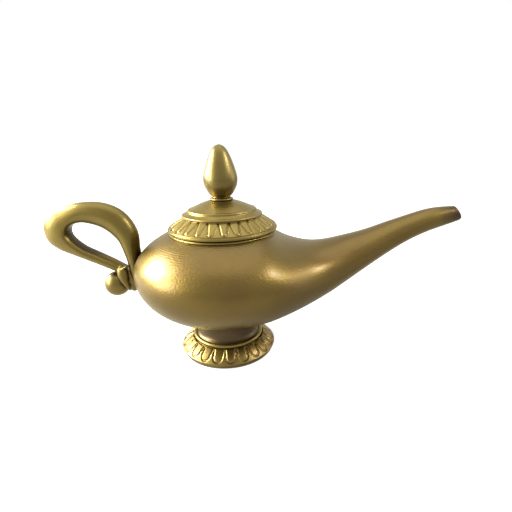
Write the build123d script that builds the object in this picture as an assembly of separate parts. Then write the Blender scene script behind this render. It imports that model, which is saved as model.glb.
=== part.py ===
from build123d import *
from math import asin, cos, degrees, hypot, radians, sin, sqrt
import os

# Genie oil lamp, in millimetres. +Z is up, +X points along the spout, and the origin is the
# centre of the felt pad's underside, which is what the lamp stands on.

# Bowl: an ellipsoid with its own rise above and drop below its widest level
bowl_radius = 66.0
bowl_level = 67.0
bowl_rise = 34.0
bowl_drop = 40.4
bowl_wall = 2.4
pole_angles = (4, 14, 27, 41, 55, 70, 84, 96, 104)
cavity_pole_angles = (12, 27, 41, 55, 70, 84, 96, 104)

# Spout: the bowl draws out into it, and its mouth is cut on a slant
spout_reach = 178.0
spout_tip_top = 108.6
spout_tip_bottom = 101.0
spout_tip_half_width = 5.2
spout_mouth_top_x = 167.5
spout_mouth_bottom_x = 171.3
spout_bore_radius = 3.4
spout_bore_length = 15.0
spout_start_share = 0.24
# place along the spout, top above the bowl's level, underside above the bowl's floor, half width
spout_shares = (
    (0.087, 0.731, 0.036, 0.891),
    (0.161, 0.553, 0.086, 0.788),
    (0.235, 0.447, 0.137, 0.637),
    (0.309, 0.409, 0.198, 0.481),
    (0.383, 0.444, 0.274, 0.358),
    (0.469, 0.526, 0.389, 0.253),
    (0.556, 0.618, 0.519, 0.184),
    (0.642, 0.738, 0.645, 0.128),
    (0.735, 0.858, 0.769, 0.089),
    (0.827, 0.962, 0.859, 0.059),
    (0.889, 0.990, 0.905, 0.031),
    (0.938, 0.996, 0.941, 0.012),
    (1.000, 1.000, 1.000, 0.000),
)

# Mouth collar: the turned ring that the lid sits in
mouth_radius = 36.1
mouth_clearance = 0.1
collar_radius = 38.9
collar_bore_radius = 30.2
collar_stand = 2.13
collar_edge_break = 0.9
collar_thickness = 1.6
collar_neck_wall = 1.8
collar_neck_depth = 8.0
collar_skirt_depth = 7.0

# Lid
lid_radius = 39.5
lid_rest_gap = 0.2
lid_lip_height = 2.4
lid_lip_break = 0.9
lid_wall = 2.3
lid_seat_width = 3.6
band_outer_radius = 37.6
band_outer_rise = 3.8
band_inner_radius = 28.2
band_inner_rise = 9.4
lid_ring_radius = 27.4
lid_ring_rise = 11.3
lid_groove_radius = 24.6
lid_groove_rise = 13.1
dome_radius = 23.5
dome_edge_rise = 13.9
dome_mid_radius = 16.5
dome_mid_rise = 17.4
lid_top_radius = 8.4
lid_top_rise = 20.4
lid_top_thickness = 3.0
lid_fit_clearance = 0.35
spigot_wall = 2.2
spigot_depth = 8.0

# Heights that follow: the collar's top over the bowl's own slope, and the lid's levels above it
collar_top = bowl_level + bowl_rise * sqrt(1 - (collar_radius / bowl_radius) ** 2) + collar_stand
band_outer_height = collar_top + band_outer_rise
band_inner_height = collar_top + band_inner_rise
lid_ring_height = collar_top + lid_ring_rise
lid_groove_height = collar_top + lid_groove_rise
dome_edge_height = collar_top + dome_edge_rise
dome_mid_height = collar_top + dome_mid_rise
lid_top_height = collar_top + lid_top_rise

# Tongues cut into the lid's band and the foot's flare; each row starts at its own turn, in degrees
lid_tongue_count = 26
lid_tongue_start = -83.9
lid_tongue_top_width = 6.0
lid_tongue_low_width = 3.8
foot_tongue_count = 22
foot_tongue_start = -83.6
foot_tongue_top_width = 7.0
foot_tongue_low_width = 6.0
tongue_groove_width = 0.8
tongue_groove_depth = 0.6
tongue_margin = 0.7

# Finial, its collar and its stud
finial_collar_radius = 8.0
finial_collar_height = 2.5
finial_height = 35.3
finial_radius = 11.9
finial_neck_share = 0.605
# place up the finial, and radius there
finial_shares = ((0.096, 0.773), (0.198, 0.941), (0.312, 1.0), (0.397, 0.975),
                 (0.552, 0.84), (0.694, 0.689), (0.822, 0.529), (0.943, 0.31))
stud_radius = 2.0
stud_grip = 12.0
thread_clearance = 0.05
thread_end = 1.5
pass_clearance = 0.25
nut_flats = 7.0
nut_height = 3.2
washer_radius = 5.0
washer_thickness = 1.0

# Foot
foot_rim_lift = 0.5
foot_flare_radius = 28.2
foot_flare_level = 4.2
foot_flare_run = 8.4
foot_flare_rise = 7.2
foot_tongue_angles = (-12, 86)
foot_shoulder_radius = 27.8
foot_shoulder_height = 10.9
foot_neck_radius = 22.0
foot_neck_low_radius = 23.6
foot_neck_waist_height = 18.5
foot_neck_top_radius = 23.2
foot_neck_top_height = 34.0
foot_wall = 2.4
bead_radius = 27.3
bead_height = 3.5
bead_fit_clearance = 0.05
plate_radius = 33.4
plate_thickness = 1.6
plate_fit_clearance = 0.1
plate_seat_width = 1.8
plate_hat_radius = 8.0
plate_hat_rise = 3.6
felt_thickness = 1.6
felt_clearance = 0.4

# Tie bolt from the foot's plate to the bowl's floor
tie_bolt_radius = 2.5
tie_head_radius = 4.6
tie_head_height = 2.8
tie_nut_flats = 8.0
tie_nut_height = 4.0
tie_washer_radius = 6.5
tie_boss_radius = 8.5
tie_boss_height = 2.0

# Handle: a loop of thick oval strap that rises from the bowl and returns to its own root
handle_reach = 64.5
handle_low = 50.0
handle_rise = 67.5
handle_half_thickness = 10.0
handle_half_width = 7.5
handle_far_row = 12
# place out from the bowl, place up, half thickness and half width
handle_shares = (
    (0.062, 0.000, 0.30, 0.42),
    (0.041, 0.080, 0.58, 0.66),
    (0.020, 0.178, 0.52, 0.86),
    (0.022, 0.326, 0.53, 0.98),
    (0.044, 0.477, 0.62, 1.02),
    (0.075, 0.640, 0.83, 1.06),
    (0.181, 0.784, 0.95, 1.06),
    (0.329, 0.864, 0.88, 1.00),
    (0.508, 0.903, 0.66, 0.96),
    (0.643, 0.896, 0.59, 0.96),
    (0.768, 0.840, 0.75, 0.96),
    (0.822, 0.762, 0.97, 0.96),
    (0.842, 0.700, 1.03, 0.96),
    (0.828, 0.634, 0.99, 0.96),
    (0.750, 0.548, 0.72, 0.94),
    (0.599, 0.467, 0.59, 0.92),
    (0.429, 0.385, 0.53, 0.88),
    (0.259, 0.303, 0.48, 0.82),
    (0.119, 0.237, 0.41, 0.72),
    (0.073, 0.215, 0.36, 0.66),
)
handle_screw_radius = 2.0
handle_screw_head_radius = 3.6
handle_screw_head_height = 2.6
handle_screw_head_clearance = 0.8
handle_screw_length = 10.0
handle_screw_heights = (60.0, 74.0)
handle_boss_radius = 5.2
ball_radius = 9.5
ball_out = 17.0
ball_height = 54.8

overrun = 12.0


def ring_solid(points):
    """A solid of revolution about Z, from a closed outline of (radius, height) points."""
    outline = Polyline(*[(radius, 0, height) for radius, height in points], close=True)
    return revolve(make_face(outline), Axis.Z, 360)


def rod(radius, low, high):
    """An upright cylinder on the lamp's axis, between two heights."""
    return Pos(0, 0, low) * Cylinder(radius, high - low, align=(Align.CENTER, Align.CENTER, Align.MIN))


def level_rod(radius, far_x, near_x, height):
    """A cylinder along X in the lamp's middle plane, between two places."""
    length = near_x - far_x
    start = Plane(origin=(far_x, 0, height), x_dir=(0, 1, 0), z_dir=(1, 0, 0))
    return start * Cylinder(radius, length, align=(Align.CENTER, Align.CENTER, Align.MIN))


def washer(hole_radius, outer_radius, low, high):
    return rod(outer_radius, low, high) - rod(hole_radius, low - overrun, high + overrun)


def hex_nut(flats, hole_radius, low, height):
    blank = extrude(RegularPolygon(flats / 2, 6, major_radius=False), height)
    return Pos(0, 0, low) * blank - rod(hole_radius, low - overrun, low + height + overrun)


def smooth(share):
    share = min(max(share, 0), 1)
    return share * share * (3 - 2 * share)


def spout_stations():
    """The bowl's last section and the spout's: place, top, underside, half width, middle."""
    start = bowl_radius * spout_start_share
    floor = bowl_level - bowl_drop
    stations = []
    for along, top_share, bottom_share, width_share in spout_shares:
        top = bowl_level + top_share * (spout_tip_top - bowl_level)
        bottom = floor + bottom_share * (spout_tip_bottom - floor)
        half_width = spout_tip_half_width + width_share * (bowl_radius - spout_tip_half_width)
        blend = smooth(along / spout_shares[5][0])
        middle = bowl_level + blend * ((top + bottom) / 2 - bowl_level)
        stations.append((start + along * (spout_reach - start), top, bottom, half_width, middle))
    return stations


def bowl_stations(angles, wall):
    """Sections of the ellipsoid, by angle from the pole at the handle's side."""
    stations = []
    for angle in angles:
        shrink = sin(radians(angle))
        place = -(bowl_radius - wall) * cos(radians(angle))
        top = bowl_level + (bowl_rise - wall) * shrink
        bottom = bowl_level - (bowl_drop - wall) * shrink
        stations.append((place, top, bottom, (bowl_radius - wall) * shrink, bowl_level))
    return stations


def oval(place, top, bottom, half_width, middle):
    """An upright section of the body: half an ellipse above the middle and half below."""
    plane = Plane(origin=(place, 0, middle), x_dir=(0, 1, 0), z_dir=(1, 0, 0))
    upper = Edge.make_ellipse(half_width, top - middle, plane, 0, 180)
    lower = Edge.make_ellipse(half_width, middle - bottom, plane, 180, 360)
    return Wire([upper, lower])


def body_form():
    """The bowl and spout as one closed form, with the mouth cut on its slant."""
    sections = [oval(*station) for station in bowl_stations(pole_angles, 0) + spout_stations()]
    form = Solid.make_loft(sections)
    mouth = Polyline(
        (spout_mouth_top_x, 0, spout_tip_top),
        (spout_mouth_bottom_x, 0, spout_tip_bottom),
        (spout_mouth_bottom_x, 0, spout_tip_bottom - overrun),
        (spout_mouth_bottom_x + 2 * overrun, 0, spout_tip_bottom - overrun),
        (spout_mouth_bottom_x + 2 * overrun, 0, spout_tip_top + overrun),
        (spout_mouth_top_x, 0, spout_tip_top + overrun),
        close=True,
    )
    return form - extrude(make_face(mouth), overrun, both=True)


def spout_line():
    """A point on the bore's axis inside the mouth, and the axis's direction in the XZ plane."""
    stations = spout_stations()
    last, before = stations[-2], stations[-3]
    run = last[0] - before[0]
    rise = last[4] - before[4]
    length = hypot(run, rise)
    return (last[0], last[4]), (run / length, rise / length)


def body_cavity():
    """The hollow inside the bowl and spout, and the straight bore at the spout's tip."""
    bore_start = spout_mouth_top_x - spout_bore_length
    stations = bowl_stations(cavity_pole_angles, bowl_wall)
    for place, top, bottom, half_width, middle in spout_stations():
        if place < bore_start:
            stations.append((place, top - bowl_wall, bottom + bowl_wall, half_width - bowl_wall, middle))
    hollow = Solid.make_loft([oval(*station) for station in stations])
    (x, z), (run, rise) = spout_line()
    back = (x - bore_start + overrun / 2) / run
    plane = Plane(origin=(x - back * run, 0, z - back * rise), x_dir=(0, 1, 0), z_dir=(run, 0, rise))
    length = back + spout_reach - x + overrun
    bore = plane * Cylinder(spout_bore_radius, length, align=(Align.CENTER, Align.CENTER, Align.MIN))
    return hollow, bore


def tie_boss_top():
    return bowl_level - bowl_drop + bowl_wall + tie_boss_height


def boss_face(height):
    """Where a handle screw's head seats: far enough in for the curved wall to clear the head."""
    away = handle_screw_head_radius + handle_screw_head_clearance
    if height > bowl_level:
        share = (height + away - bowl_level) / (bowl_rise - bowl_wall)
    else:
        share = (height - away - bowl_level) / (bowl_drop - bowl_wall)
    return -(bowl_radius - bowl_wall) * sqrt(1 - share ** 2)


def body_shell(form):
    """The hollow body with its bosses, its mouth and its screw holes, still in one piece."""
    hollow, bore = body_cavity()
    bosses = rod(tie_boss_radius, 0, tie_boss_top())
    for height in handle_screw_heights:
        bosses += level_rod(handle_boss_radius, -bowl_radius - overrun, boss_face(height), height)
    shell = form - (hollow - bosses) - bore
    shell -= rod(mouth_radius, bowl_level, bowl_level + bowl_rise + overrun)
    shell -= rod(tie_bolt_radius + pass_clearance, -overrun, bowl_level)
    hole_radius = handle_screw_radius + pass_clearance
    for height in handle_screw_heights:
        shell -= level_rod(hole_radius, -bowl_radius - overrun, boss_face(height) + overrun, height)
    return shell


def half(shape, side):
    """The part of a shape on one side of the lamp's middle plane."""
    size = 4 * spout_reach
    return shape & Pos(0, side * size / 2, 0) * Box(size, size, size)


def mouth_collar(form):
    """The ring that lines the mouth; its skirt stands on the bowl's own outer surface."""
    neck_radius = mouth_radius - mouth_clearance
    under = collar_top - collar_thickness
    points = (
        (collar_bore_radius, under),
        (neck_radius - collar_neck_wall, under),
        (neck_radius - collar_neck_wall, under - collar_neck_depth),
        (neck_radius, under - collar_neck_depth),
        (neck_radius, collar_top - collar_skirt_depth),
        (collar_radius, collar_top - collar_skirt_depth),
        (collar_radius, collar_top - collar_edge_break),
        (collar_radius - collar_edge_break, collar_top),
        (collar_bore_radius, collar_top),
    )
    rim = form - rod(mouth_radius, bowl_level - bowl_drop - overrun, bowl_level + bowl_rise + overrun)
    pieces = (ring_solid(points) - rim).solids()
    return max(pieces, key=lambda piece: piece.volume)


def tongue_outline(top_half, low_half, reach, inset):
    """A tongue with a square top and a round lower end. Its lower end is at +Y on the sketch."""
    top_half -= inset
    low_half -= inset
    straight = reach - inset - low_half
    lines = Polyline((low_half, straight), (top_half, inset - reach),
                     (-top_half, inset - reach), (-low_half, straight))
    tip = ThreePointArc((-low_half, straight), (0, reach - inset), (low_half, straight))
    return make_face(lines + tip)


def tongue_tool(top_width, low_width, low, high, depth):
    """A groove round one tongue, square to the line from low to high (radius, height)."""
    run = high[0] - low[0]
    rise = high[1] - low[1]
    length = hypot(run, rise)
    middle = ((low[0] + high[0]) / 2, 0, (low[1] + high[1]) / 2)
    plane = Plane(origin=middle, x_dir=(0, -1, 0), z_dir=(rise / length, 0, -run / length))
    reach = length / 2 - tongue_margin
    outer = tongue_outline(top_width / 2, low_width / 2, reach, 0)
    inner = tongue_outline(top_width / 2, low_width / 2, reach, tongue_groove_width)
    return plane * extrude(outer - inner, depth, both=True)


def round_axis(tool, count, start):
    return [Rot(0, 0, start + 360 * turn / count) * tool for turn in range(count)]


def lid_rest():
    return collar_top + lid_rest_gap


def spigot_radius():
    return collar_bore_radius - lid_fit_clearance


def spigot_seat():
    """Height of the flat inside the lid that the locating ring is fixed to."""
    slope = (band_inner_height - band_outer_height) / (band_outer_radius - band_inner_radius)
    return band_outer_height + slope * (band_outer_radius - spigot_radius() - lid_wall) - lid_wall


def lid_cover():
    rest = lid_rest()
    lip_top = rest + lid_lip_height
    seat_inner = lid_radius - lid_lip_break - lid_seat_width
    hole_radius = stud_radius + pass_clearance
    seat = spigot_seat()
    step_radius = spigot_radius() - spigot_wall - mouth_clearance
    outside = Polyline(
        (seat_inner, 0, rest),
        (lid_radius - lid_lip_break, 0, rest),
        (lid_radius, 0, rest + lid_lip_break),
        (lid_radius, 0, lip_top - lid_lip_break / 2),
        (lid_radius - lid_lip_break / 2, 0, lip_top),
        (band_outer_radius + lid_lip_break / 2, 0, lip_top + lid_lip_break / 2),
        (band_outer_radius, 0, band_outer_height),
        (band_inner_radius, 0, band_inner_height),
        (band_inner_radius, 0, band_inner_height + lid_lip_break),
        (lid_ring_radius, 0, lid_ring_height),
        (lid_groove_radius, 0, lid_groove_height),
        (dome_radius, 0, (lid_groove_height + dome_edge_height) / 2),
        (dome_radius, 0, dome_edge_height),
    )
    dome = Spline(
        (dome_radius, 0, dome_edge_height),
        ((dome_radius + dome_mid_radius) / 2, 0, (dome_edge_height + dome_mid_height) / 2),
        (dome_mid_radius, 0, dome_mid_height),
        (lid_top_radius, 0, lid_top_height),
    )
    ceiling = lid_top_height - lid_top_thickness
    inside = Polyline(
        (lid_top_radius, 0, lid_top_height),
        (hole_radius, 0, lid_top_height),
        (hole_radius, 0, ceiling),
        (lid_top_radius, 0, ceiling),
        (dome_mid_radius, 0, dome_mid_height - lid_wall),
        (dome_radius - lid_wall, 0, dome_edge_height - lid_wall),
        (band_inner_radius - lid_wall, 0, band_inner_height - lid_wall / 2),
        (step_radius, 0, seat),
        (spigot_radius() + mouth_clearance, 0, seat),
        (seat_inner, 0, rest + lid_lip_height),
        (seat_inner, 0, rest),
    )
    cover = revolve(make_face(outside + dome + inside), Axis.Z, 360)
    low = (band_outer_radius, band_outer_height)
    high = (band_inner_radius, band_inner_height)
    tool = tongue_tool(lid_tongue_top_width, lid_tongue_low_width, low, high, tongue_groove_depth)
    return cover - round_axis(tool, lid_tongue_count, lid_tongue_start)


def lid_locating_ring():
    radius = spigot_radius()
    return washer(radius - spigot_wall, radius, collar_top - spigot_depth, spigot_seat())


def finial_base():
    return lid_top_height + finial_collar_height


def finial_collar():
    hole_radius = stud_radius + pass_clearance
    edge = finial_collar_height / 4
    low, high = lid_top_height, finial_base()
    points = (
        (hole_radius, low),
        (finial_collar_radius - edge, low),
        (finial_collar_radius, low + edge),
        (finial_collar_radius, high - edge),
        (finial_collar_radius - edge, high),
        (hole_radius, high),
    )
    return ring_solid(points)


def finial():
    """The drop-shaped knob, with a blind threaded hole up from its foot."""
    base = finial_base()
    top = base + finial_height
    neck = finial_neck_share * finial_radius
    points = [(neck, 0, base)]
    points += [(radius * finial_radius, 0, base + up * finial_height) for up, radius in finial_shares]
    side = Spline(*points, (0, 0, top), tangents=[(1, 0, 1), (-1, 0, 0)])
    closing = Polyline((0, 0, top), (0, 0, base), (neck, 0, base))
    knob = revolve(make_face(side + closing), Axis.Z, 360)
    return knob - rod(stud_radius + thread_clearance, base - overrun, base + stud_grip + thread_end)


def lid_ceiling():
    return lid_top_height - lid_top_thickness


def finial_stud():
    low = lid_ceiling() - washer_thickness - nut_height - thread_end
    return rod(stud_radius, low, finial_base() + stud_grip)


def finial_washer():
    ceiling = lid_ceiling()
    return washer(stud_radius + pass_clearance, washer_radius, ceiling - washer_thickness, ceiling)


def finial_nut():
    low = lid_ceiling() - washer_thickness - nut_height
    return hex_nut(nut_flats, stud_radius + thread_clearance, low, nut_height)


def plate_top():
    return felt_thickness + plate_thickness


def flare_edge(inset, start, end):
    """An arc of the flare's outline in the XZ plane, between two angles from level."""
    plane = Plane(origin=(foot_flare_radius, 0, foot_flare_level), x_dir=(1, 0, 0), z_dir=(0, -1, 0))
    return Edge.make_ellipse(foot_flare_run - inset, foot_flare_rise - inset, plane, start, end)


def flare_point(angle):
    return (foot_flare_radius + foot_flare_run * cos(radians(angle)),
            foot_flare_level + foot_flare_rise * sin(radians(angle)))


def foot_groove():
    """A groove round one tongue of the flare, which follows the flare's own curve."""
    low, high = [flare_point(angle) for angle in foot_tongue_angles]
    tool = tongue_tool(foot_tongue_top_width, foot_tongue_low_width, low, high, foot_flare_rise / 2)
    return tool - revolve(make_face(flare_edge(tongue_groove_depth, 0, 360)), Axis.Z, 360)


def foot_flange(form):
    plate_hole = plate_radius + plate_fit_clearance
    rim_angle = degrees(asin((foot_rim_lift - foot_flare_level) / foot_flare_rise))
    rim = flare_point(rim_angle)
    underside = Line((plate_hole, 0, foot_rim_lift), (rim[0], 0, rim[1]))
    shoulder = Polyline(
        (foot_flare_radius, 0, foot_flare_level + foot_flare_rise),
        (foot_shoulder_radius, 0, foot_shoulder_height),
        (foot_neck_low_radius, 0, foot_shoulder_height),
        (foot_neck_low_radius, 0, foot_shoulder_height + bead_height),
    )
    neck = Spline(
        (foot_neck_low_radius, 0, foot_shoulder_height + bead_height),
        (foot_neck_radius, 0, foot_neck_waist_height),
        (foot_neck_top_radius, 0, foot_neck_top_height),
    )
    inside = Polyline(
        (foot_neck_top_radius, 0, foot_neck_top_height),
        (foot_neck_top_radius - foot_wall, 0, foot_neck_top_height),
        (foot_neck_radius - foot_wall, 0, foot_neck_waist_height),
        (foot_neck_low_radius - foot_wall, 0, foot_shoulder_height),
        (foot_flare_radius - foot_wall, 0, foot_shoulder_height - foot_wall),
        (plate_hole - plate_seat_width, 0, foot_flare_level),
        (plate_hole - plate_seat_width, 0, plate_top()),
        (plate_hole, 0, plate_top()),
        (plate_hole, 0, foot_rim_lift),
    )
    flare = flare_edge(0, rim_angle, 90)
    flange = revolve(make_face(underside + flare + shoulder + neck + inside), Axis.Z, 360)
    grooves = round_axis(foot_groove(), foot_tongue_count, foot_tongue_start)
    pieces = (flange - form - grooves).solids()
    return max(pieces, key=lambda piece: piece.volume)


def foot_bead_ring():
    hole_radius = foot_neck_low_radius + bead_fit_clearance
    low = foot_shoulder_height
    side = ThreePointArc(
        (bead_radius - bead_height / 4, 0, low),
        (bead_radius, 0, low + bead_height / 2),
        (bead_radius - bead_height / 2, 0, low + bead_height * 0.95),
    )
    closing = Polyline(
        (bead_radius - bead_height / 2, 0, low + bead_height * 0.95),
        (hole_radius, 0, low + bead_height),
        (hole_radius, 0, low),
        (bead_radius - bead_height / 4, 0, low),
    )
    return revolve(make_face(side + closing), Axis.Z, 360)


def foot_base_plate():
    """A pressed disc with a raised middle, which the tie bolt's head sits under."""
    hole_radius = tie_bolt_radius + pass_clearance
    low, high = felt_thickness, plate_top()
    slope = plate_thickness
    points = (
        (plate_hat_radius, low),
        (plate_radius, low),
        (plate_radius, high),
        (plate_hat_radius + slope, high),
        (plate_hat_radius, high + plate_hat_rise),
        (hole_radius, high + plate_hat_rise),
        (hole_radius, low + plate_hat_rise),
        (plate_hat_radius - slope, low + plate_hat_rise),
    )
    return ring_solid(points)


def foot_felt_pad():
    return rod(plate_radius - felt_clearance, 0, felt_thickness)


def tie_bolt():
    head_top = felt_thickness + plate_hat_rise
    top = tie_boss_top() + plate_thickness + tie_nut_height + thread_end
    head = rod(tie_head_radius, head_top - tie_head_height, head_top)
    return head + rod(tie_bolt_radius, head_top - tie_head_height, top)


def tie_washer():
    low = tie_boss_top()
    return washer(tie_bolt_radius + pass_clearance, tie_washer_radius, low, low + plate_thickness)


def tie_nut():
    low = tie_boss_top() + plate_thickness
    return hex_nut(tie_nut_flats, tie_bolt_radius + thread_clearance, low, tie_nut_height)


def handle_point(row):
    """A point of the strap's middle line, with X measured from the bowl's side."""
    return (-row[0] * handle_reach, handle_low + row[1] * handle_rise)


def handle_section(index):
    """One oval section of the strap, square to the line through its neighbours."""
    row = handle_shares[index]
    before = handle_point(handle_shares[max(index - 1, 0)])
    after = handle_point(handle_shares[min(index + 1, len(handle_shares) - 1)])
    run, rise = after[0] - before[0], after[1] - before[1]
    length = hypot(run, rise)
    x, z = handle_point(row)
    plane = Plane(origin=(x, 0, z), x_dir=(rise / length, 0, -run / length),
                  z_dir=(run / length, 0, rise / length))
    half_thickness = row[2] * handle_half_thickness
    half_width = row[3] * handle_half_width
    return Wire([Edge.make_ellipse(half_thickness, half_width, plane)])


def handle_loop(form):
    rows = range(len(handle_shares))
    upper = Solid.make_loft([handle_section(index) for index in rows[:handle_far_row + 1]])
    lower = Solid.make_loft([handle_section(index) for index in rows[handle_far_row:]])
    loop = Pos(-bowl_radius, 0, 0) * (upper + lower) - form
    hole_radius = handle_screw_radius + thread_clearance
    for height in handle_screw_heights:
        tip = boss_face(height) - handle_screw_length - thread_end / 2
        loop -= level_rod(hole_radius, tip, -bowl_radius + overrun, height)
    return max(loop.solids(), key=lambda piece: piece.volume)


def handle_ball(loop):
    ball = Pos(-bowl_radius - ball_out, 0, ball_height) * Rot(0, 90, 0) * Sphere(ball_radius)
    return max((ball - loop).solids(), key=lambda piece: piece.volume)


def handle_screws():
    screws = []
    for height in handle_screw_heights:
        face = boss_face(height)
        shank = level_rod(handle_screw_radius, face - handle_screw_length, face, height)
        head = level_rod(handle_screw_head_radius, face, face + handle_screw_head_height, height)
        screws.append(shank + head)
    return Compound([screw.solids()[0] for screw in screws])


def build():
    form = body_form()
    shell = body_shell(form)
    loop = handle_loop(form)
    return {
        "bowl_front_shell": half(shell, -1),
        "bowl_back_shell": half(shell, 1),
        "mouth_collar": mouth_collar(form),
        "foot_flange": foot_flange(form),
        "foot_bead_ring": foot_bead_ring(),
        "foot_base_plate": foot_base_plate(),
        "foot_felt_pad": foot_felt_pad(),
        "tie_bolt": tie_bolt(),
        "tie_washer": tie_washer(),
        "tie_nut": tie_nut(),
        "handle_loop": loop,
        "handle_ball": handle_ball(loop),
        "handle_screws": handle_screws(),
        "lid_cover": lid_cover(),
        "lid_locating_ring": lid_locating_ring(),
        "finial_collar": finial_collar(),
        "finial": finial(),
        "finial_stud": finial_stud(),
        "finial_washer": finial_washer(),
        "finial_nut": finial_nut(),
    }


os.makedirs("parts", exist_ok=True)
for name, shape in build().items():
    export_step(shape, f"parts/{name}.step")
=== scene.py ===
# %% [markdown]
# A brass oil lamp with a long spout, a lid with a drop-shaped knob, a foot and a loop handle. The
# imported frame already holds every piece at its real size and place. This script keeps the pieces
# whose shape is right and gives them their finish, and models again the ones whose looks depend on
# soft edges: the lid, the knob and its ring, the collar in the mouth, the foot with its bead ring
# and felt pad, and the handle. Then it lights the lamp as a shop would photograph it, on white.

# %% Load the frame
from math import atan2, cos, hypot, pi, radians, sin

import bmesh
import bpy
from mathutils import Matrix, Vector


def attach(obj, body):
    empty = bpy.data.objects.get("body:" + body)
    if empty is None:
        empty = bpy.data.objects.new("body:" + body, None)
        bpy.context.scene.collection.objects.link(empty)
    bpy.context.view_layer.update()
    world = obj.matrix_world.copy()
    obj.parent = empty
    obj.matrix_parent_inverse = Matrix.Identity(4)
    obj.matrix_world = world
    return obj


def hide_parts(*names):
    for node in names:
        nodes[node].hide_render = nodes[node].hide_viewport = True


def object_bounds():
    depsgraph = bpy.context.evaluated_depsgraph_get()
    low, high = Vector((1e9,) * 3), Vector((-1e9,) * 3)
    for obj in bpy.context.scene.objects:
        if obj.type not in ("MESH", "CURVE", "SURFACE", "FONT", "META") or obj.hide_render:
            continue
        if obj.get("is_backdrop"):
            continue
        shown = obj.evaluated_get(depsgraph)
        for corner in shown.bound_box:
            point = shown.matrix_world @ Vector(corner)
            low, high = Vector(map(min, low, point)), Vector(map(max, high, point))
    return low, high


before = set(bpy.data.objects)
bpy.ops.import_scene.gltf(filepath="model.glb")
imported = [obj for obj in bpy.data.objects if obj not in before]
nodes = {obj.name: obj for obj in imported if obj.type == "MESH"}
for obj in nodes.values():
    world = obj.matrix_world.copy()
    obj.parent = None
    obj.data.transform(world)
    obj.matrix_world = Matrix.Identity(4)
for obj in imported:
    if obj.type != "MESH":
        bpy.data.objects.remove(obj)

MM = 0.001
cad_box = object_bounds()

# %% [markdown]
# The camera stands where the photographer stood: a quarter of a metre in front of the lamp and a
# little to the right, looking down by about 18 degrees. Its lens follows from how large the lamp is
# in the picture. Placing the camera first means that every later render can be laid beside the
# photograph.

# %% Camera
picture_pixels = 512
focal_pixels = 350
camera_place = Vector((0.02367, -0.25082, 0.15482))
camera_pitch = radians(17.86)
camera_roll = radians(-1.373)
camera_data = bpy.data.cameras.new("camera")
camera_data.sensor_width = 36
camera_data.lens = camera_data.sensor_width * focal_pixels / picture_pixels
camera_data.clip_start = 0.01
camera = bpy.data.objects.new("camera", camera_data)
camera.matrix_world = (
    Matrix.Translation(camera_place)
    @ Matrix.Rotation(pi / 2 - camera_pitch, 4, "X")
    @ Matrix.Rotation(camera_roll, 4, "Z"))
bpy.context.scene.collection.objects.link(camera)
bpy.context.scene.camera = camera
print("lens:", round(camera_data.lens, 2), "mm")

# %% [markdown]
# Colours are picked as sRGB hex, the way a paint chart or a photo editor shows them. A shader works
# in linear light, so one function turns a hex value into the four linear numbers that a socket
# takes. A second function adds a node, sets it up and wires it, which keeps every material below
# short to read.

# %% Colour and nodes
def colour(hex_value):
    channels = [int(hex_value[place:place + 2], 16) / 255 for place in (0, 2, 4)]
    linear = [c / 12.92 if c <= 0.04045 else ((c + 0.055) / 1.055) ** 2.4 for c in channels]
    return (*linear, 1.0)


def add_node(tree, kind, inputs=None, **settings):
    """Adds a node, sets its properties, and fills or links its inputs by name or number."""
    node = tree.nodes.new(kind)
    for name, value in settings.items():
        setattr(node, name, value)
    for name, value in (inputs or {}).items():
        if isinstance(value, bpy.types.NodeSocket):
            tree.links.new(value, node.inputs[name])
        else:
            node.inputs[name].default_value = value
    return node


def new_material(name):
    material = bpy.data.materials.new(name)
    material.use_nodes = True
    return material, material.node_tree, material.node_tree.nodes["Principled BSDF"]


def place_in_mm(tree):
    """Object coordinates turned from metres into mm, so that every scale below is a real size."""
    place = add_node(tree, "ShaderNodeTexCoord").outputs["Object"]
    return add_node(tree, "ShaderNodeVectorMath", {0: place, "Scale": 1 / MM},
                    operation="SCALE").outputs[0]


# %% [markdown]
# The lamp is cast brass, bead-blasted to a satin and lacquered, and it has aged. The colour comes
# in layers over the clean metal. Wide, faint clouds of darker metal, about 20 mm across, come
# first. The last layer is a brown in the hollows, which Ambient Occlusion finds in the shape
# itself:
# partly tarnish where a cloth can't reach, partly painted shade in creases, under overhangs and
# between parts.

# %% Age of the brass
clouds_per_mm = 0.045


def clouded(tree, place):
    """How dark the clouds are, from none to half."""
    clouds = add_node(tree, "ShaderNodeTexNoise", {"Vector": place, "Scale": clouds_per_mm,
                      "Detail": 3.0, "Roughness": 0.55})
    return add_node(tree, "ShaderNodeMapRange", {"Value": clouds.outputs["Fac"], "From Min": 0.35,
                    "From Max": 0.7, "To Max": 0.5}).outputs[0]


def hollow_tarnish_and_shade(tree, size, most, alone):
    """How much tarnish and painted shade a hollow of this size in mm gets. Alone, a piece sees
    only its own hollows.
    """
    opened = add_node(tree, "ShaderNodeAmbientOcclusion", {"Distance": size * MM}, samples=8,
                      only_local=alone)
    return add_node(tree, "ShaderNodeMapRange", {"Value": opened.outputs["AO"], "From Min": 0.3,
                    "From Max": 0.85, "To Min": most, "To Max": 0.0}).outputs[0]


# %% [markdown]
# Three places are darker than their neighbours. The neck of the foot, under the bowl, is browned as
# painted shade. The inner side of the handle's loop, which faces the strap across it, is darkened
# as painted shade too. And the end of the spout is browned, with a ragged edge. Each is a layer
# with its own brown, placed by height, by what it faces or by how far out it lies. Its function
# gives how much of the brown shows, and the brown.

# %% Neck, loop and spout's end
neck_shade_brown, loop_shade_brown, spout_end_brown = colour("3A2A12"), colour("21180A"), colour("35200F")
neck_from, neck_full = 11.8, 14.8
loop_centre = (-93, 0, 95)
spout_dark_from, spout_dark_full = 158, 171
edge_noise_per_mm, edge_noise_reach = 0.35, 9.0


# Painted shade: the neck under the bowl is browned from a little above the bead upwards.
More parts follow.
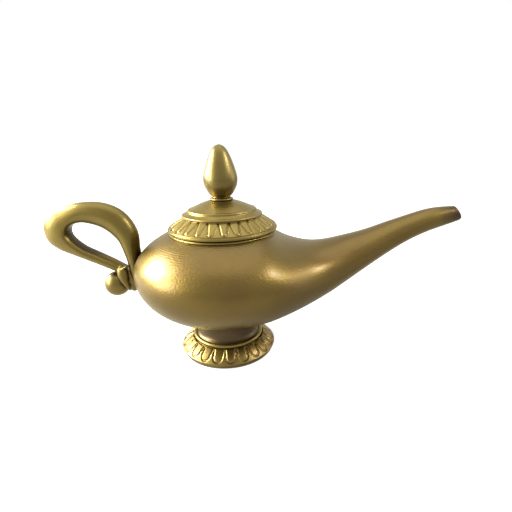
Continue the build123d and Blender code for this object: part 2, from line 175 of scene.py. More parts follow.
def painted_shade_on_neck(tree, place):
    up = add_node(tree, "ShaderNodeSeparateXYZ", {0: place}).outputs["Z"]
    share = add_node(tree, "ShaderNodeMapRange", {"Value": up, "From Min": neck_from,
                     "From Max": neck_full, "To Max": 0.85})
    return share.outputs[0], neck_shade_brown


# Painted shade: faces of the handle that look in towards the middle of the loop are browned.
def painted_shade_inside_loop(tree, place):
    inwards = add_node(tree, "ShaderNodeVectorMath", {0: loop_centre, 1: place},
                       operation="SUBTRACT").outputs[0]
    inwards = add_node(tree, "ShaderNodeVectorMath", {0: inwards}, operation="NORMALIZE").outputs[0]
    normal = add_node(tree, "ShaderNodeNewGeometry").outputs["Normal"]
    facing = add_node(tree, "ShaderNodeVectorMath", {0: inwards, 1: normal},
                      operation="DOT_PRODUCT").outputs["Value"]
    share = add_node(tree, "ShaderNodeMapRange", {"Value": facing, "From Min": 0.6,
                     "From Max": 0.92, "To Max": 0.93})
    return share.outputs[0], loop_shade_brown


# The spout's last few millimetres are browned, with a ragged edge drawn by noise.
def darker_spout_end(tree, place):
    edge_noise = add_node(tree, "ShaderNodeTexNoise", {"Vector": place, "Scale": edge_noise_per_mm,
                     "Detail": 4.0})
    out = add_node(tree, "ShaderNodeSeparateXYZ", {0: place}).outputs["X"]
    ragged = add_node(tree, "ShaderNodeMath", {0: edge_noise.outputs["Fac"], 1: edge_noise_reach, 2: out},
                      operation="MULTIPLY_ADD")
    share = add_node(tree, "ShaderNodeMapRange", {"Value": ragged.outputs[0], "From Min": spout_dark_from,
                     "From Max": spout_dark_full, "To Max": 0.85})
    return share.outputs[0], spout_end_brown


# %% [markdown]
# The skin is three reliefs over each other. The casting itself is faintly uneven, like orange peel,
# with dimples about a millimetre across. The blasting adds a fine grain, which breaks the
# reflections into a soft glow: real grains are about a tenth of a millimetre, too fine to show
# here, so they are drawn at about half a millimetre. And the bowl's shoulder was trued on a lathe,
# which leaves rings round the mouth, again drawn coarser than they are. A wave texture repeats
# every pi / 10 units at a scale of 1, so its scale follows from the gap between two rings.

# %% Skin of the brass
grain_per_mm, grain_depth = 2.2, 0.05
peel_per_mm = 0.8
ring_gap, ring_depth = 1.5, 0.08
shoulder_from, shoulder_full = 82, 90
bowl_until, spout_from = 40, 60


def blasted_skin(tree, place, peel_depth):
    """The roughness and the relief of the brass, with an orange peel of this depth in mm."""
    grain = add_node(tree, "ShaderNodeTexNoise", {"Vector": place, "Scale": grain_per_mm,
                     "Detail": 3.0, "Roughness": 0.6}).outputs["Fac"]
    roughness = add_node(tree, "ShaderNodeMapRange", {"Value": grain, "From Min": 0.3,
                         "From Max": 0.7, "To Min": 0.35, "To Max": 0.45})
    peel = add_node(tree, "ShaderNodeTexNoise", {"Vector": place, "Scale": peel_per_mm,
                    "Detail": 2.0}).outputs["Fac"]
    uneven = add_node(tree, "ShaderNodeBump", {"Height": peel, "Strength": 0.8,
                      "Distance": peel_depth * MM})
    relief = add_node(tree, "ShaderNodeBump", {"Height": grain, "Strength": 0.6,
                      "Distance": grain_depth * MM, "Normal": uneven.outputs[0]})
    return roughness.outputs[0], relief.outputs[0]


def turned_rings(tree, place, relief):
    """Rings over the relief, on the bowl's shoulder alone."""
    rings = add_node(tree, "ShaderNodeTexWave", {"Vector": place, "Scale": pi / 10 / ring_gap,
                     "Distortion": 0.6, "Detail": 1.0, "Detail Scale": 0.3},
                     wave_type="RINGS", rings_direction="Z")
    along = add_node(tree, "ShaderNodeSeparateXYZ", {0: place})
    high_up = add_node(tree, "ShaderNodeMapRange", {"Value": along.outputs["Z"],
                       "From Min": shoulder_from, "From Max": shoulder_full})
    on_bowl = add_node(tree, "ShaderNodeMapRange", {"Value": along.outputs["X"],
                       "From Min": bowl_until, "From Max": spout_from, "To Min": 1.0,
                       "To Max": 0.0})
    where = add_node(tree, "ShaderNodeMath", {0: high_up.outputs[0], 1: on_bowl.outputs[0]},
                     operation="MULTIPLY")
    lines = add_node(tree, "ShaderNodeMath", {0: rings.outputs["Fac"], 1: where.outputs[0]},
                     operation="MULTIPLY")
    return add_node(tree, "ShaderNodeBump", {"Height": lines.outputs[0], "Strength": 0.8,
                    "Distance": ring_depth * MM, "Normal": relief}).outputs[0]


# %% [markdown]
# All the brass is one recipe with a few measures, because the pieces were cast and polished apart:
# the handle less than the bowl, the small turned pieces more. The lacquer over it is a thin clear
# coat, which whitens the strongest highlights. Brass is a metal, so its colour sits in its
# reflections, and the tint at grazing angles is paler.

# %% Satin brass
tarnish_and_shade_brown = colour("2B1E0D")


def satin_brass(name, base, aged, hollow_size, hollow_share, alone=False, darker=None,
                peel_depth=0.06, lines=None):
    """Brass whose hollows of this size in mm are darkened by this share, as tarnish and painted
    shade. darker is a function that adds a layer, and lines one that adds a relief."""
    material, tree, shader = new_material(name)
    place = place_in_mm(tree)
    layers = [(clouded(tree, place), colour(aged))]
    if darker:
        layers.append(darker(tree, place))
    layers.append((hollow_tarnish_and_shade(tree, hollow_size, hollow_share, alone), tarnish_and_shade_brown))
    metal = colour(base)
    for share, tint in layers:
        metal = add_node(tree, "ShaderNodeMix", {"Factor": share, "A": metal, "B": tint},
                         data_type="RGBA").outputs["Result"]
    roughness, relief = blasted_skin(tree, place, peel_depth)
    if lines:
        relief = lines(tree, place, relief)
    tree.links.new(metal, shader.inputs["Base Color"])
    tree.links.new(roughness, shader.inputs["Roughness"])
    tree.links.new(relief, shader.inputs["Normal"])
    shader.inputs["Metallic"].default_value = 1.0
    shader.inputs["Specular Tint"].default_value = colour("F4ECD0")
    shader.inputs["Coat Weight"].default_value = 0.48
    shader.inputs["Coat Roughness"].default_value = 0.32
    return material


bowl_brass = satin_brass("bowl_brass", "655219", "593F18", hollow_size=3, hollow_share=0.5,
                         darker=darker_spout_end, peel_depth=0.23, lines=turned_rings)
cast_brass = satin_brass("cast_brass", "6B5B1E", "59461A", hollow_size=5, hollow_share=0.8,
                         darker=painted_shade_inside_loop)
lid_brass = satin_brass("lid_brass", "7C6A2C", "6A5523", hollow_size=1.5, hollow_share=0.6,
                        alone=True)
knob_brass = satin_brass("knob_brass", "6E5E28", "5C4B20", hollow_size=6, hollow_share=0.6)
foot_brass = satin_brass("foot_brass", "766329", "63491E", hollow_size=1.3, hollow_share=0.5,
                         alone=True, darker=painted_shade_on_neck)
inner_brass = satin_brass("inner_brass", "5A4820", "443214", hollow_size=12, hollow_share=0.7)
print("brass finishes:", len([m for m in bpy.data.materials if "brass" in m.name]))

# %% [markdown]
# The bolt, stud, nuts, washers and screws are zinc-plated steel: pale grey, a little blue, with the
# fine rings that a lathe leaves. The rings are drawn about a third of a millimetre apart, coarser
# than they are. These pieces are hidden inside the lamp, but some of them show when the lid is
# lifted.

# %% Plated steel
cut_gap, cut_depth, spangles_per_mm = 0.349, 0.03, 0.6
plated_steel, tree, shader = new_material("plated_steel")
place = place_in_mm(tree)
marks = add_node(tree, "ShaderNodeTexWave", {"Vector": place, "Scale": pi / 10 / cut_gap,
                 "Distortion": 1.5, "Detail": 2.0}, wave_type="RINGS", rings_direction="Z")
spangle = add_node(tree, "ShaderNodeTexNoise", {"Vector": place, "Scale": spangles_per_mm,
                   "Detail": 4.0}).outputs["Fac"]
zinc = add_node(tree, "ShaderNodeMix", {"Factor": spangle, "A": colour("9A9DA0"),
                "B": colour("C3C5C6")}, data_type="RGBA")
gloss = add_node(tree, "ShaderNodeMapRange", {"Value": spangle, "To Min": 0.28, "To Max": 0.45})
cut = add_node(tree, "ShaderNodeBump", {"Height": marks.outputs["Fac"], "Strength": 0.3,
               "Distance": cut_depth * MM})
tree.links.new(zinc.outputs["Result"], shader.inputs["Base Color"])
tree.links.new(gloss.outputs[0], shader.inputs["Roughness"])
tree.links.new(cut.outputs[0], shader.inputs["Normal"])
shader.inputs["Metallic"].default_value = 1.0
print("plated steel:", len(tree.nodes), "nodes")

# %% [markdown]
# The pad under the foot is pressed wool felt. Its fibres are finer than a hair and lie every way,
# so two noises do it: a fine one for single fibres, drawn coarser than they are, and a wider one
# for the small clumps that pressing leaves. Felt has no shine, only the faint light rim that stray
# fibres catch, which the sheen gives.

# %% Felt
fibres_per_mm, clumps_per_mm, nap_depth = 3.5, 0.5, 0.15
green_felt, tree, shader = new_material("green_felt")
place = place_in_mm(tree)
fibres = add_node(tree, "ShaderNodeTexNoise", {"Vector": place, "Scale": fibres_per_mm,
                  "Detail": 6.0, "Roughness": 0.75, "Distortion": 1.2}).outputs["Fac"]
clumps = add_node(tree, "ShaderNodeTexNoise", {"Vector": place, "Scale": clumps_per_mm,
                  "Detail": 3.0}).outputs["Fac"]
dyed = add_node(tree, "ShaderNodeMix", {"Factor": fibres, "A": colour("1C2A1E"),
                "B": colour("3F5643")}, data_type="RGBA")
half_clumps = add_node(tree, "ShaderNodeMath", {0: clumps, 1: 0.5}, operation="MULTIPLY")
worn = add_node(tree, "ShaderNodeMix", {"Factor": half_clumps.outputs[0],
                "A": dyed.outputs["Result"], "B": colour("2A3B2C")}, data_type="RGBA")
nap = add_node(tree, "ShaderNodeBump", {"Height": fibres, "Strength": 0.8,
               "Distance": nap_depth * MM})
tree.links.new(worn.outputs["Result"], shader.inputs["Base Color"])
tree.links.new(nap.outputs[0], shader.inputs["Normal"])
shader.inputs["Roughness"].default_value = 0.95
shader.inputs["Sheen Weight"].default_value = 0.4
shader.inputs["Sheen Roughness"].default_value = 0.5
print("felt:", len(tree.nodes), "nodes")

# %% [markdown]
# The frame's own pieces come next. Their shapes are exact already, so each only gets its finish.
# The others are modelled again further down and hidden, so it makes no difference that they take
# the cast brass.

# %% Finishes for the frame's pieces
finishes = {
    "bowl_front_shell": bowl_brass, "bowl_back_shell": bowl_brass, "handle_ball": cast_brass,
    "foot_base_plate": inner_brass, "lid_locating_ring": inner_brass,
    "tie_bolt": plated_steel, "tie_washer": plated_steel, "tie_nut": plated_steel,
    "handle_screws": plated_steel, "finial_stud": plated_steel, "finial_washer": plated_steel,
    "finial_nut": plated_steel,
}
for name, node in nodes.items():
    node.data.materials.clear()
    node.data.materials.append(finishes.get(name, cast_brass))
print("kept from the frame:", len(finishes), "nodes")

# %% [markdown]
# Most of the new pieces are turned, so they are made as on a lathe: half of the outline is drawn,
# then spun a full turn about the lamp's axis. The outline starts as a plane merged to a single
# vertex, and each extrude draws one more edge of it. After the spin, the seam and the poles are
# welded.

# %% Drawing and turning
weld_distance = MM / 1000


def only(piece):
    """Selects one piece and makes it active, so that an operator acts on nothing else."""
    bpy.ops.object.select_all(action="DESELECT")
    piece.select_set(True)
    bpy.context.view_layer.objects.active = piece


def drawn(name, points):
    """A line of edges in the XZ plane through (across, up) points in mm; it stays in edit mode."""
    bpy.ops.object.select_all(action="DESELECT")
    bpy.ops.mesh.primitive_plane_add(size=MM, location=(0, 0, 0))
    piece = bpy.context.object
    piece.name = piece.data.name = name
    bpy.ops.object.mode_set(mode="EDIT")
    bpy.ops.mesh.select_mode(type="VERT")
    bpy.ops.mesh.select_all(action="SELECT")
    bpy.ops.mesh.merge(type="CENTER")
    bpy.ops.transform.translate(value=(points[0][0] * MM, 0, points[0][1] * MM))
    for here, there in zip(points, points[1:]):
        step = ((there[0] - here[0]) * MM, 0, (there[1] - here[1]) * MM)
        bpy.ops.mesh.extrude_region_move(TRANSFORM_OT_translate={"value": step})
    return piece


def turned(name, outline, steps):
    """A lathe-turned piece from its (radius, height) outline in mm."""
    piece = drawn(name, outline)
    bpy.ops.mesh.select_all(action="SELECT")
    bpy.ops.mesh.spin(steps=steps, angle=2 * pi, center=(0, 0, 0), axis=(0, 0, 1))
    bpy.ops.mesh.select_all(action="SELECT")
    bpy.ops.mesh.remove_doubles(threshold=weld_distance)
    bpy.ops.mesh.normals_make_consistent(inside=False)
    bpy.ops.object.mode_set(mode="OBJECT")
    return piece


# %% [markdown]
# Three helpers keep the outlines short to write. One rounds the corners of a plain outline, because
# a casting has no sharp edge, and those small rounds are what catches the light. One draws a smooth
# line through a few points, for the curves that flow. And one divides a straight run, so that it
# has enough vertices to press a pattern into.

# %% Outlines
def rounded(corners, steps=3):
    """Rounds an outline whose corners are (radius, height, size of the round)."""
    points = [tuple(corners[0][:2])]
    for before, corner, after in zip(corners, corners[1:], corners[2:]):
        here = Vector(corner[:2])
        back, on = Vector(before[:2]) - here, Vector(after[:2]) - here
        size = min(corner[2], back.length * 0.48, on.length * 0.48)
        start, end = here + back.normalized() * size, here + on.normalized() * size
        for step in range(steps + 1 if size else 1):
            share = step / steps
            points.append(tuple(start * (1 - share) ** 2 + here * 2 * share * (1 - share)
                                + end * share ** 2))
    return points + [tuple(corners[-1][:2])]


def smooth_through(points, steps):
    """A smooth line through every point, with this many steps from each point to the next."""
    line = []
    last = len(points) - 1
    for index in range(last):
        around = [points[min(max(index + offset, 0), last)] for offset in (-1, 0, 1, 2)]
        for step in range(steps):
            t = step / steps
            line.append(tuple((2 * b + (c - a) * t + (2 * a - 5 * b + 4 * c - d) * t ** 2
                               + (3 * b - a - 3 * c + d) * t ** 3) / 2
                              for a, b, c, d in zip(*around)))
    return line + [tuple(points[-1])]


def evenly(start, end, size):
    """Points on a straight run, with steps of about this size."""
    count = max(1, round(hypot(end[0] - start[0], end[1] - start[1]) / size))
    return [tuple(a + (b - a) * step / count for a, b in zip(start, end))
            for step in range(count + 1)]


# %% [markdown]
# Every new piece is finished in the same way. It is shaded smooth with its real corners kept, gets
# its finish, rides on its body, and hides the nodes of the frame that it stands for.

# %% Finishing a piece
def apply_modifier(piece, kind, **settings):
    only(piece)
    modifier = piece.modifiers.new(kind.lower(), kind)
    for name, value in settings.items():
        setattr(modifier, name, value)
    bpy.ops.object.modifier_apply(modifier=modifier.name)


def finished(piece, material, body, *replaced, slot="satin_brass", crease=40):
    """Shades the piece, gives it its finish, hangs it on its body, and hides the nodes it stands
    for.
    """
    only(piece)
    bpy.ops.object.shade_smooth_by_angle(angle=radians(crease))
    piece.data.materials.clear()
    piece.data.materials.append(material)
    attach(piece, body)
    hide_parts(*replaced)
    print(piece.name, "has", len(piece.data.polygons), "faces")


# %% [markdown]
# The tongues on the lid and the foot are the lamp's one ornament: a row of U-shaped grooves, each
# round a slightly raised tongue with a round lower end. They could be cut with a tube and a
# Boolean, but that leaves knife-sharp lips, and here every lip should be soft enough to carry a
# bright stroke of light. So they are pressed in: each vertex near a groove's line gets a weight,
# most on the line itself and none a millimetre away, and a Displace modifier pushes the weighted
# vertices into the metal.

# %% Pressing the tongues
band_overlap = 0.05


def press_tongues(piece, count, start, low, high, past, off, margin, top_width, low_width, groove,
                  depth):
    """Presses tongues into the band that runs from high down to low, both (radius, height). A
    vertex counts if it is less than off from the band's line, and no further down it than the
    share past. The tongues end a margin short of low. Sizes are in mm."""
    group = piece.vertex_groups.new(name="groove")
    pitch = 2 * pi / count
    low_half = low_width / 2
    length = hypot(low[0] - high[0], low[1] - high[1])
    straight = length - margin - low_half
    pressed = 0
    for vertex in piece.data.vertices:
        x, y, z = vertex.co / MM
        radius = hypot(x, y)
        share = (radius - high[0]) / (low[0] - high[0])
        on_line = high[1] + share * (low[1] - high[1])
        if not (-band_overlap <= share <= past and abs(z - on_line) < off):
            continue
        down = share * length
        across = abs((atan2(y, x) - start + pitch / 2) % pitch - pitch / 2) * radius
        if down < straight:
            half = top_width / 2 + (low_half - top_width / 2) * max(down, 0) / straight
            away = abs(across - half)
        else:
            away = abs(hypot(across, down - straight) - low_half)
        if away < groove:
            group.add([vertex.index], 0.5 + 0.5 * cos(pi * away / groove), "REPLACE")
            pressed += 1
    apply_modifier(piece, "DISPLACE", strength=-depth * MM, mid_level=0, vertex_group="groove")
    print(piece.name, "has", pressed, "pressed vertices")


# %% [markdown]
# The lid is one casting, turned on a lathe: a rolled lip that hangs over the bowl's mouth, the
# sloping band of tongues, a rolled ring, and a dome with a rolled edge. Its outline goes from the
# seat under the lip outwards and up to the knob's hole, and back inside the wall, so that the spun
# shape is closed.

# %% Lid
band_low, band_high, band_step = (38.6, 99.1), (28.5, 105.8), 0.36
lip = rounded((
    (35.0, 96.8, 0), (37.6, 96.8, 0.2), (37.9, 96.1, 0.3), (39.5, 96.1, 0.85), (39.5, 98.0, 0.85),
    (38.7, 98.1, 0.2), (38.5, 98.5, 0.2), (*band_low, 0)), steps=4)
band = evenly(band_low, band_high, band_step)
ring = rounded((
    (*band_high, 0), (28.4, 106.3, 0.15), (28.95, 106.6, 0.4), (28.9, 107.6, 0.7),
    (27.3, 108.1, 0.8), (24.9, 109.3, 0.3), (24.6, 109.8, 0.2), (24.75, 110.2, 0.3),
    (24.4, 111.0, 0.6), (22.9, 111.2, 0)))
dome = smooth_through(
    ((22.9, 111.2), (20.0, 112.6), (16.5, 114.2), (12.4, 115.7), (8.4, 116.9)), steps=4)
inside = rounded((
    (8.4, 116.9, 0), (2.3, 117.0, 0.1), (2.3, 114.0, 0.1), (8.4, 114.0, 1.0), (16.5, 111.7, 2.0),
    (21.2, 108.2, 1.0), (25.9, 104.9, 1.0), (27.5, 101.4, 0.1), (30.0, 101.4, 0.3),
    (35.0, 99.2, 0.3), (35.0, 96.8, 0)), steps=2)
lid_tongues, steps_per_tongue = 26, 20
lid = turned("lid_with_tongues", lip + band[1:] + ring[1:] + dome[1:] + inside[1:],
             lid_tongues * steps_per_tongue)
press_tongues(lid, lid_tongues, start=radians(-83.9), low=band_low, high=band_high, past=1.02,
              off=0.2, margin=1.0, top_width=6.1, low_width=3.8, groove=1.1, depth=0.7)
finished(lid, lid_brass, "lid", "lid_cover")

# %% [markdown]
# The knob is a drop on a thin turned ring. A drop could be a stretched sphere, but a sphere's top
# and bottom are alike, and this one is fullest at a third of its height and draws up to a blunt
# tip. So its side is a smooth line through a few shares of its full height and radius, spun on the
# lathe.

# %% Knob and its ring
knob_base, knob_height, knob_radius = 119.49, 35.3, 11.9
knob_shares = (
    (0.0, 0.50), (0.015, 0.58), (0.045, 0.68), (0.096, 0.785), (0.198, 0.935), (0.312, 1.0),
    (0.42, 0.975), (0.552, 0.87), (0.694, 0.725), (0.822, 0.565), (0.915, 0.405), (0.972, 0.23),
    (1.0, 0.0))
knob_side = smooth_through(
    [(share * knob_radius, knob_base + up * knob_height) for up, share in knob_shares], steps=4)
knob = turned("knob_drop", [(0, knob_base)] + knob_side, steps=96)
finished(knob, knob_brass, "lid", "finial", crease=50)

knob_ring_outline = rounded((
    (2.3, 117.0, 0), (7.6, 117.0, 0.2), (8.4, 117.5, 0.4), (8.3, 118.3, 0.4), (6.6, 119.0, 0.3),
    (6.3, 119.5, 0.2), (2.3, 119.5, 0), (2.3, 117.0, 0)), steps=4)
knob_ring = turned("knob_ring", knob_ring_outline, steps=96)
finished(knob_ring, lid_brass, "lid", "finial_collar")

# %% [markdown]
# The lid sits on a collar in the bowl's mouth. While the lid is on, all that shows of it is an edge
# close under the lid's lip, with a thin dark line between the two. So its skirt stands on the bowl
# and comes up to just below the lip.

# %% Mouth collar
collar_outline = rounded((
    (30.2, 95.0, 0), (34.2, 95.0, 0.2), (34.2, 87.0, 0.2), (36.0, 87.0, 0.2), (36.0, 93.6, 0.2),
    (38.9, 93.4, 0.2), (38.7, 95.3, 0.3), (37.6, 95.85, 0.3), (36.9, 96.6, 0.3), (30.2, 96.6, 0.3),
    (30.2, 95.0, 0)))
collar = turned("mouth_step", collar_outline, steps=160)
finished(collar, lid_brass, "lamp", "mouth_collar")

# %% [markdown]
# The foot is a second casting. From the rim's widest edge its flare rises as a slightly swelled
# cone, which carries the longer tongues, and dips into a groove under the bead ring. Above that a
# waisted neck goes up into the bowl. The neck ends inside the bowl's wall, as a brazed joint would.

# %% Foot
flare_low, flare_high, flare_step = (36.25, 4.9), (28.3, 11.4), 0.34
flare_bulge, flare_outwards = 0.45, (0.63, 0.77)
flare = []
for radius, height in evenly(flare_low, flare_high, flare_step):
    swell = flare_bulge * sin(pi * (flare_low[0] - radius) / (flare_low[0] - flare_high[0]))
    flare.append((radius + swell * flare_outwards[0], height + swell * flare_outwards[1]))

rim = rounded(((33.5, 0.5, 0), (35.3, 0.5, 0.4), (36.9, 4.1, 0.9), (*flare_low, 0)), steps=5)
shoulder = rounded((
    (*flare[-1], 0), (27.9, 11.5, 0.3), (27.3, 10.6, 0.3), (26.4, 10.4, 0.3), (25.9, 10.9, 0.2),
    (23.9, 10.9, 0.1), (24.4, 13.8, 0)))
neck = smooth_through(
    ((24.4, 13.8), (22.9, 15.4), (22.2, 18.0), (22.0, 22.0), (22.5, 26.0), (23.2, 30.2)), steps=3)
foot_inside = rounded((
    (23.2, 30.2, 0), (20.8, 30.0, 0.2), (19.6, 18.5, 2.0), (21.2, 10.9, 1.0), (25.6, 8.0, 1.0),
    (31.7, 4.2, 0.5), (31.7, 3.2, 0.1), (33.5, 3.2, 0.1), (33.5, 0.5, 0)), steps=2)
foot_tongues, steps_per_tongue = 22, 22
foot = turned("foot_with_tongues", rim + flare[1:] + shoulder[1:] + neck[1:] + foot_inside[1:],
              foot_tongues * steps_per_tongue)
press_tongues(foot, foot_tongues, start=radians(-83.6), low=flare_low, high=flare_high, past=1.06,
              off=1.2, margin=0.7, top_width=6.9, low_width=6.4, groove=1.0, depth=0.55)
finished(foot, foot_brass, "lamp", "foot_flange")

bead_centre, bead_radius, bead_steps = (25.5, 12.65), 1.8, 24
bead = [(bead_centre[0] + bead_radius * cos(2 * pi * step / bead_steps),
         bead_centre[1] + bead_radius * sin(2 * pi * step / bead_steps))
        for step in range(bead_steps + 1)]
bead_ring = turned("bead_ring", bead, steps=176)
finished(bead_ring, lid_brass, "lamp", "foot_bead_ring")

# %% [markdown]
# The pad under the foot is a disc of felt. The frame has it as a plain disc, so it is turned again
# with a soft edge and an underside that is drawn up a little in the middle, where it is glued. Its
# nap comes from its material.

# %% Felt pad
pad_outline = rounded((
    (0, 0.15, 0), (12, 0.05, 4), (32.0, 0.0, 3), (33.0, 0.1, 0.5), (33.0, 1.5, 0.5), (0, 1.6, 0)),
    steps=6)
pad = turned("felt_disc", pad_outline, steps=128)
finished(pad, green_felt, "lamp", "foot_felt_pad", slot="felt")

# %% [markdown]
# The handle is a strap bent into a loop. It leaves the bowl's side, swells over the top, turns at
# the far end and comes back to its own root. Its outer side is round and its inner side is flatter,
# and the two meet in a soft ridge along each edge. A curve with a bevel would keep one section all
# the way, so the strap is lofted: one section is drawn, copied to every station with its own size
# and turn, and each pair of neighbours is bridged.

# %% Lofting
def station_rings(section, stations, side):
    """Copies of the section at (x, y, z, outer depth, inner depth, half width) stations in mm."""
    rings = []
    for index, station in enumerate(stations):
        before, after = stations[max(index - 1, 0)], stations[min(index + 1, len(stations) - 1)]
        travel = (Vector(after[:3]) - Vector(before[:3])).normalized()
        width = (side - travel * side.dot(travel)).normalized()
        outwards = width.cross(travel)
        outer_depth, inner_depth, half_width = station[3:]
        matrix = Matrix.Identity(4)
        matrix.col[0].xyz = outwards
        matrix.col[1].xyz = travel
        matrix.col[2].xyz = width * half_width
        matrix.translation = Vector(station[:3]) * MM
        ring = section.copy()
        ring.data = section.data.copy()
        for vertex in ring.data.vertices:
            vertex.co.x *= outer_depth if vertex.co.x > 0 else inner_depth
        ring.data.transform(matrix)
        bpy.context.scene.collection.objects.link(ring)
        rings.append(ring)
    return rings


def lofted(name, outline, stations, side):
    """A closed piece bridged from ring to ring along its stations."""
    section = drawn("section", outline)
    bpy.ops.mesh.select_all(action="SELECT")
    bpy.ops.mesh.remove_doubles(threshold=weld_distance)
    bpy.ops.object.mode_set(mode="OBJECT")
    count = len(section.data.vertices)
    rings = station_rings(section, stations, Vector(side))
    bpy.data.objects.remove(section)
    only(rings[0])
    for ring in rings:
        ring.select_set(True)
    bpy.ops.object.join()
    piece = bpy.context.object
    piece.name = piece.data.name = name
    bpy.ops.object.mode_set(mode="EDIT")
    bpy.ops.mesh.select_mode(type="VERT")

    def pick(first, last):
        bpy.ops.mesh.select_all(action="DESELECT")
        shape = bmesh.from_edit_mesh(piece.data)
        shape.verts.ensure_lookup_table()
        for vertex in shape.verts[first * count:last * count]:
            vertex.select_set(True)
        shape.select_flush(True)
        bmesh.update_edit_mesh(piece.data)

    for index in range(len(rings) - 1):
        pick(index, index + 2)
        bpy.ops.mesh.bridge_edge_loops()
    for index in (0, len(rings) - 1):
        pick(index, index + 1)
        bpy.ops.mesh.edge_face_add()
    bpy.ops.mesh.select_all(action="SELECT")
    bpy.ops.mesh.normals_make_consistent(inside=False)
    bpy.ops.object.mode_set(mode="OBJECT")
    print(name, "bridged from", len(rings), "rings of", count)
    return piece


def strap_section(count, outer_power=1.0, inner_power=1.0):
    """An oval whose ends at the two edges are drawn to a ridge; a power of 1 leaves it round."""
    points = []
    for step in range(count + 1):
        angle = 2 * pi * step / count
        thick = sin(angle)
        power = outer_power if thick > 0 else inner_power
        points.append((abs(thick) ** power * (1 if thick > 0 else -1), cos(angle)))
    return points


# %% [markdown]
# Each row of the strap gives a place on the ridge line, seen from the side, how deep the strap is
# outside and inside of it, and its half width. The curl's end runs into the root, which has a heel
# against the ball. A small leaf grows from that meeting down over the ball, and a short lip closes
# it. All of them are one casting, so they are joined and remeshed as one skin, and a few rounds of
# smoothing blend them as a wax model is blended before it is cast.

# %% Handle
strap_rows = (
    (-70.0, 50.0, 3.0, 3.0, 3.2), (-68.6, 55.4, 5.8, 5.8, 5.0), (-67.3, 62.0, 5.2, 5.2, 6.5),
    (-67.4, 72.0, 5.3, 5.3, 7.3), (-68.8, 82.2, 6.2, 6.2, 7.6), (-70.8, 93.2, 8.3, 8.3, 7.9),
    (-77.7, 102.9, 9.5, 9.5, 7.9), (-87.4, 108.2, 9.0, 9.0, 7.5), (-98.6, 109.8, 7.9, 7.6, 7.2),
    (-106.4, 107.6, 9.0, 5.6, 7.2), (-111.6, 103.2, 13.2, 3.2, 7.2), (-114.4, 99.8, 15.0, 3.4, 7.2),
    (-115.1, 96.8, 15.7, 3.4, 7.2), (-115.1, 93.5, 14.5, 3.4, 7.2), (-112.0, 88.2, 10.0, 3.6, 7.0),
    (-104.8, 81.7, 5.9, 3.8, 6.9), (-93.8, 75.9, 5.0, 3.8, 6.6), (-82.8, 70.1, 4.4, 3.6, 6.2),
    (-73.2, 66.6, 4.7, 1.0, 5.4), (-70.2, 65.0, 4.0, 1.0, 5.0))
strap_stations = smooth_through(
    [(x, 0, z, outer, inner, wide) for x, z, outer, inner, wide in strap_rows], steps=4)
handle = lofted("handle_casting", strap_section(36, inner_power=1.1), strap_stations,
                side=(0, 1, 0))

leaf_stations = smooth_through((
    (-76.6, -4.2, 70.2, 1.2, 1.2, 2.2), (-76.2, -6.0, 67.0, 1.6, 1.6, 3.8),
    (-75.4, -7.2, 62.5, 1.6, 1.6, 3.9), (-73.8, -7.9, 57.5, 1.4, 1.4, 2.7),
    (-72.2, -7.6, 53.5, 1.0, 1.0, 1.4), (-71.2, -6.8, 51.0, 0.5, 0.5, 0.5)), steps=4)
leaf = lofted("leaf", strap_section(16, outer_power=1.7), leaf_stations, side=(-1, 0, 0))
lip_stations = smooth_through((
    (-78.0, -5.0, 66.6, 0.6, 0.6, 0.6), (-76.0, -6.4, 68.0, 0.9, 0.9, 0.9),
    (-73.6, -7.0, 69.5, 1.0, 1.0, 1.0), (-71.2, -6.9, 71.2, 0.6, 0.6, 0.6)), steps=3)
curl_lip = lofted("curl_lip", strap_section(12), lip_stations, side=(0, 1, 0))
heel_stations = smooth_through((
    (-71.0, 0, 66.0, 3.0, 3.0, 5.0), (-71.6, 0, 60.5, 4.6, 4.6, 6.2),
    (-71.2, 0, 55.0, 4.6, 4.6, 5.8), (-70.2, 0, 50.6, 3.2, 3.2, 4.0),
    (-69.4, 0, 48.6, 1.4, 1.4, 1.8)), steps=3)
heel = lofted("heel", strap_section(24), heel_stations, side=(0, 1, 0))

only(handle)
leaf.select_set(True)
curl_lip.select_set(True)
heel.select_set(True)
bpy.ops.object.join()
skin_cell, blending_rounds = 0.45, 6
apply_modifier(handle, "REMESH", mode="VOXEL", voxel_size=skin_cell * MM)
apply_modifier(handle, "SMOOTH", factor=0.5, iterations=blending_rounds)

# %% [markdown]
# The root must not poke through into the bowl. A sphere squashed to the middle of the bowl's wall,
# flatter above than below, is taken away from it, so that the handle ends inside the wall all
# round.

# %% Fit the handle to the bowl
wall_middle, bowl_level = 64.9, 67.0
wall_rise, wall_drop = 32.9, 39.3
bpy.ops.object.select_all(action="DESELECT")
bpy.ops.mesh.primitive_uv_sphere_add(segments=96, ring_count=64, radius=wall_middle * MM,
                                     location=(0, 0, 0))
bowl_core = bpy.context.object
for vertex in bowl_core.data.vertices:
    reach = wall_rise if vertex.co.z > 0 else wall_drop
    vertex.co.z = vertex.co.z * reach / wall_middle + bowl_level * MM
apply_modifier(handle, "BOOLEAN", operation="DIFFERENCE", solver="EXACT", object=bowl_core)
bpy.data.objects.remove(bowl_core)
finished(handle, cast_brass, "lamp", "handle_loop", crease=60)

# %% [markdown]
# The studio is plain: a large soft light on the left, which makes the white glow on the bowl's left
# side, a small one on the right for the second highlight, and a wide weak one overhead that lifts
# the shoulder and the lid. Two weak fills open the sides that these leave flat. Each is placed by
# its direction.

# %% Lights
lamp_middle = Vector((0.02, 0, 0.075))


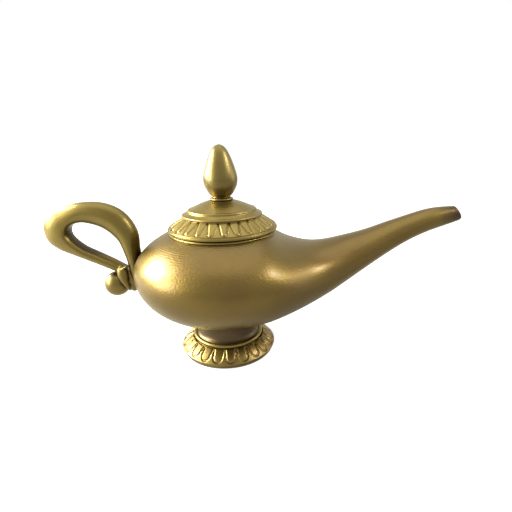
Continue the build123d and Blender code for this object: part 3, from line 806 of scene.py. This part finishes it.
def softbox(name, azimuth, elevation, distance, width, height, watts):
    """A soft light in this direction from the lamp's middle, aimed at it; sizes are in metres."""
    azimuth, elevation = radians(azimuth), radians(elevation)
    away = Vector((cos(azimuth) * cos(elevation), sin(azimuth) * cos(elevation), sin(elevation)))
    light = bpy.data.lights.new(name, "AREA")
    light.shape = "RECTANGLE"
    light.size = width
    light.size_y = height
    light.energy = watts
    softbox_object = bpy.data.objects.new(name, light)
    softbox_object.location = lamp_middle + away * distance
    softbox_object.rotation_euler = away.to_track_quat("Z", "Y").to_euler()
    bpy.context.scene.collection.objects.link(softbox_object)


softbox("left_softbox", azimuth=170, elevation=24, distance=0.8, width=0.46, height=0.40, watts=26)
softbox("left_fill", azimuth=198, elevation=12, distance=0.8, width=0.32, height=0.32, watts=5.4)
softbox("right_softbox", azimuth=-9, elevation=37, distance=1.0, width=0.12, height=0.12, watts=4.6)
softbox("right_fill", azimuth=10, elevation=10, distance=0.8, width=0.3, height=0.4, watts=1.0)
softbox("top_softbox", azimuth=90, elevation=88, distance=0.9, width=1.0, height=1.0, watts=4.5)
print("lights:", len(bpy.data.lights))

# %% [markdown]
# The lamp stands on a white sweep. Plain light alone would leave it grey, and more light would
# bleach the brass. So the Light Path node tells rays apart: what the eye sees directly, in a
# reflection or through glass is white, and what lights the lamp stays at its plain level. The floor
# is lit nearly white already, so it only glows a little: just enough to whiten it, and more to the
# camera, which keeps the lamp's shadow soft. The metal reflects the same floor.

# %% White to the eye
def seen_by_eye(tree):
    """1 where a ray comes from the camera, a reflection or a clear piece, and 0 elsewhere."""
    path = add_node(tree, "ShaderNodeLightPath")
    direct = add_node(tree, "ShaderNodeMath", {0: path.outputs["Is Camera Ray"],
                      1: path.outputs["Is Glossy Ray"]}, operation="MAXIMUM")
    return add_node(tree, "ShaderNodeMath", {0: direct.outputs[0],
                    1: path.outputs["Is Transmission Ray"]}, operation="MAXIMUM").outputs[0]


plain_strength = 0.35
world = bpy.data.worlds.new("studio")
bpy.context.scene.world = world
world.use_nodes = True
tree = world.node_tree
ambient = add_node(tree, "ShaderNodeBackground", {"Color": (1, 1, 1, 1),
                   "Strength": plain_strength})
white = add_node(tree, "ShaderNodeBackground", {"Color": (1, 1, 1, 1), "Strength": 1.0})
sky = add_node(tree, "ShaderNodeMixShader", {0: seen_by_eye(tree), 1: ambient.outputs[0],
               2: white.outputs[0]})
tree.links.new(sky.outputs[0], tree.nodes["World Output"].inputs["Surface"])
print("world:", len(tree.nodes), "nodes")

# %% Floor
floor_width = 6
camera_glow, eye_glow = 0.67, 0.18
bpy.ops.object.select_all(action="DESELECT")
bpy.ops.mesh.primitive_plane_add(size=floor_width, location=(0, 0, 0))
floor = bpy.context.object
floor.name = "floor"
sweep, tree, shader = new_material("white_sweep")
shader.inputs["Base Color"].default_value = colour("A4A3A1")
shader.inputs["Roughness"].default_value = 0.9
shader.inputs["Emission Color"].default_value = (1, 1, 1, 1)
to_camera = add_node(tree, "ShaderNodeLightPath").outputs["Is Camera Ray"]
to_eye = add_node(tree, "ShaderNodeMath", {0: seen_by_eye(tree), 1: eye_glow},
                  operation="MULTIPLY").outputs[0]
glow = add_node(tree, "ShaderNodeMath", {0: to_camera, 1: camera_glow, 2: to_eye},
                operation="MULTIPLY_ADD").outputs[0]
tree.links.new(glow, shader.inputs["Emission Strength"])
floor.data.materials.append(sweep)
floor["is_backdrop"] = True
bpy.context.scene.view_settings.view_transform = "Standard"
print("floor:", floor_width, "m wide")

# %% Size
boxes = {"cad": cad_box, "visual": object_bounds()}
for name, box in boxes.items():
    print(name, [[round(value / MM, 2) for value in corner] for corner in box])
